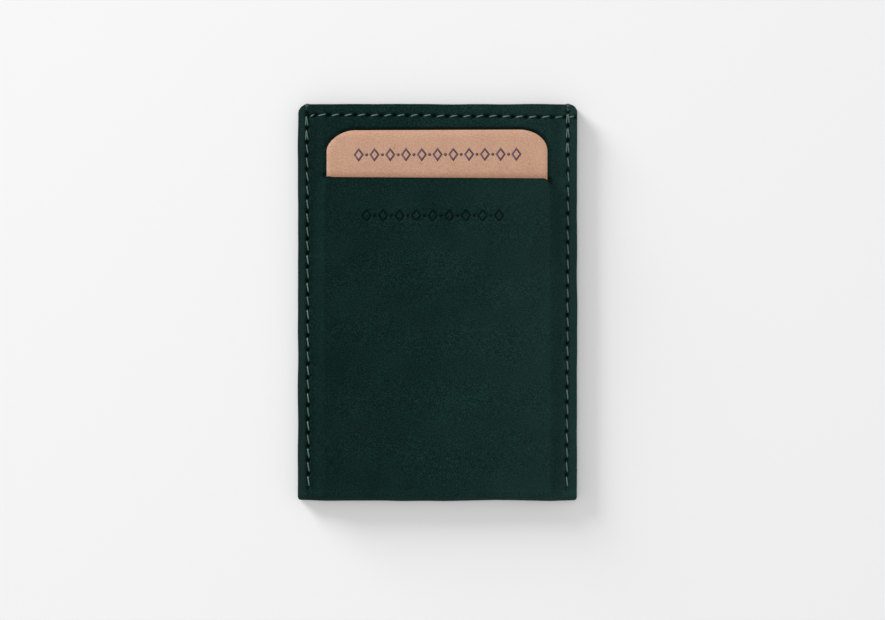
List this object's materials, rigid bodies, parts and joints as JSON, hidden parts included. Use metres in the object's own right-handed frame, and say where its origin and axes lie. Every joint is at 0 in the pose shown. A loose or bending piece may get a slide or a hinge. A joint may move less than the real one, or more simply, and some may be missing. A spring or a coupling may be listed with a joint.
{
  "type": "card holder",
  "caption": "Slim stitched leather card holder with an open top pocket, a slit pocket in its front and a stiff card insert that slides out of the slit.",
  "frame": {"origin": "middle of the footprint, on the surface that the holder's back lies on", "axes": "+X across the holder to the right as seen from the front, +Y from the bottom fold to the pocket mouth, +Z out of the front; the holder lies on its back"},
  "size_m": [0.07, 0.0996, 0.0058],
  "materials": {
    "leather": "smooth dark green calf leather with a fine grain, semi-matte, painted edges",
    "lining_leather": "thin dark green leather, matte",
    "board": "uncoated kraft board with fine fibres, matte",
    "thread": "twisted grey-green sewing thread with a soft sheen"
  },
  "bodies": {
    "holder": {"outer_leather": "leather", "pocket_divider": "lining_leather", "left_seam_needle_thread": "thread", "left_seam_bobbin_thread": "thread", "right_seam_needle_thread": "thread", "right_seam_bobbin_thread": "thread", "top_seam_needle_thread": "thread", "top_seam_bobbin_thread": "thread"},
    "insert": {"card_insert": "board"}
  },
  "joints": [
    {"name": "insert_slide", "type": "slide", "parent": "holder", "child": "insert", "axis": [0, 0.9999, 0.0156], "range_m": [0, 0.078]}
  ]
}
